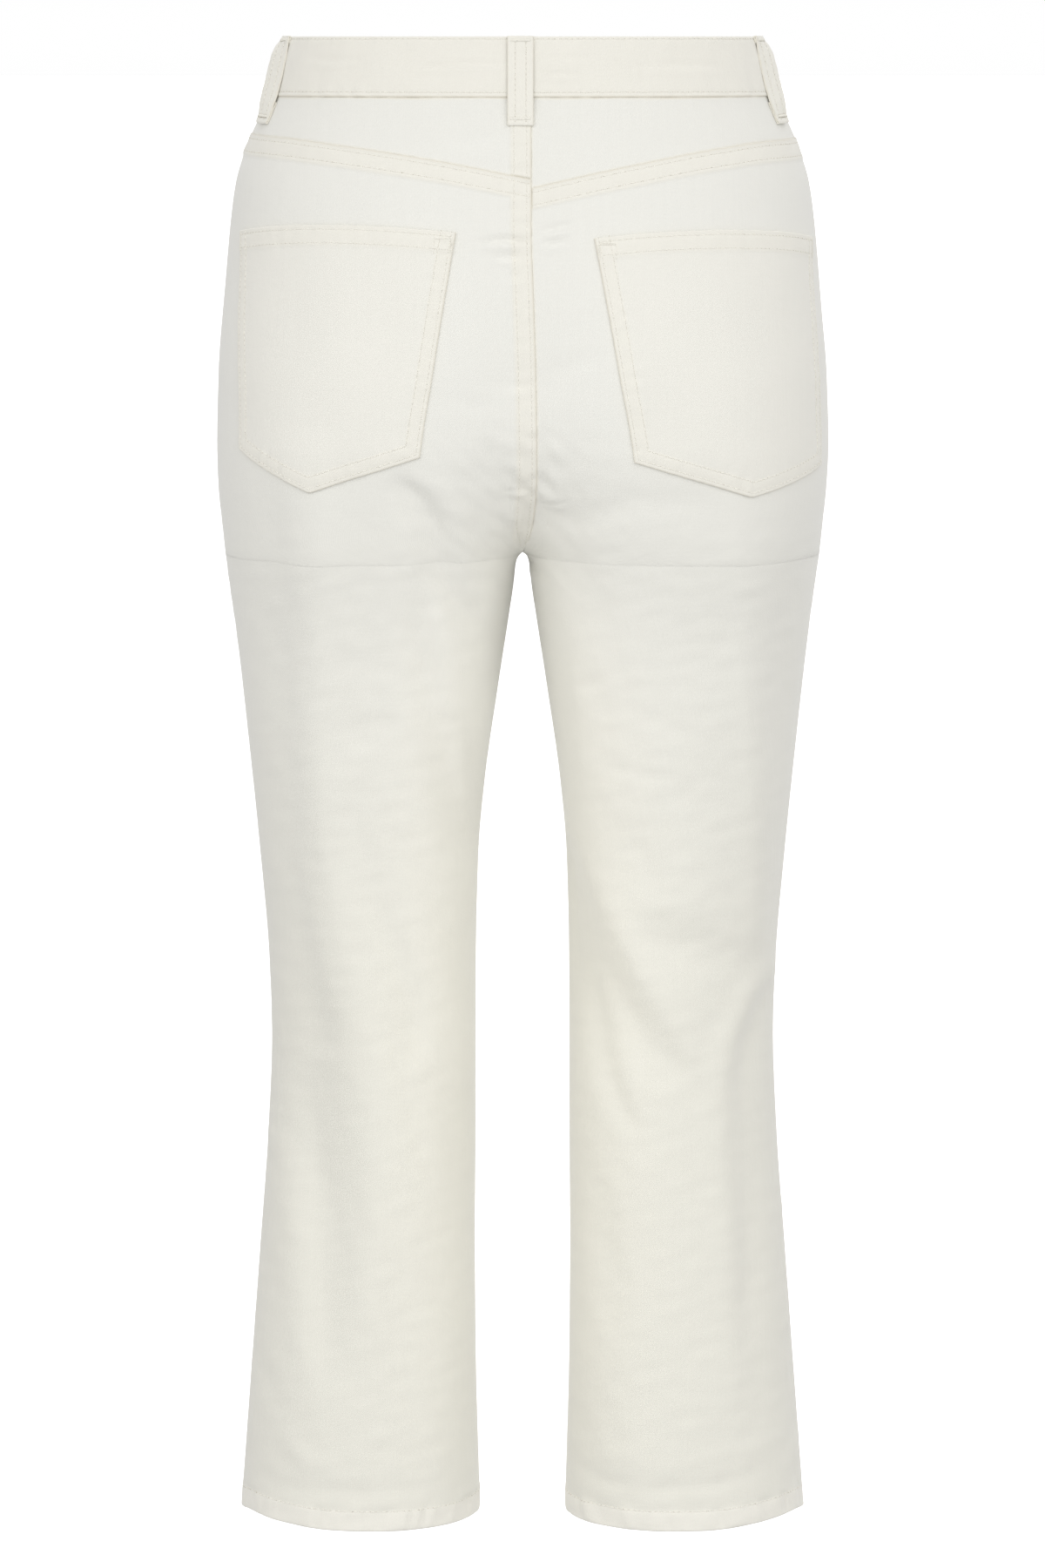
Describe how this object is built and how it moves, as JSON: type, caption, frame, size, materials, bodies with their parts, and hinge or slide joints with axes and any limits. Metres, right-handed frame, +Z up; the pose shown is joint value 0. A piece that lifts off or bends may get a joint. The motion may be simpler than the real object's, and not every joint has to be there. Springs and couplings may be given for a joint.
{
  "type": "capri pants",
  "caption": "Women's cropped straight-leg trousers in off-white cotton twill, filled out as worn: waistband with belt loops, V-shaped back yoke and patch back pockets.",
  "frame": {"origin": "middle of the waist opening, half way down the waistband, where the wearer's waist holds the garment up", "axes": "+Z up, -Y the way the wearer faces (the back of the garment is at +Y), +X the wearer's left"},
  "size_m": [0.3602, 0.2458, 0.8797],
  "materials": {
    "twill": "matt off-white cotton twill with a little stretch",
    "button_metal": "brushed nickel tone"
  },
  "bodies": {
    "root": {"waistband": "twill", "yoke_left": "twill", "yoke_right": "twill", "back_left": "twill", "back_right": "twill", "front_left": "twill", "front_right": "twill", "pocket_left": "twill", "pocket_right": "twill", "loop_back": "twill", "loop_side_left": "twill", "loop_side_right": "twill", "loop_front_left": "twill", "loop_front_right": "twill", "fly_shield": "twill", "button": "button_metal"}
  },
  "joints": []
}
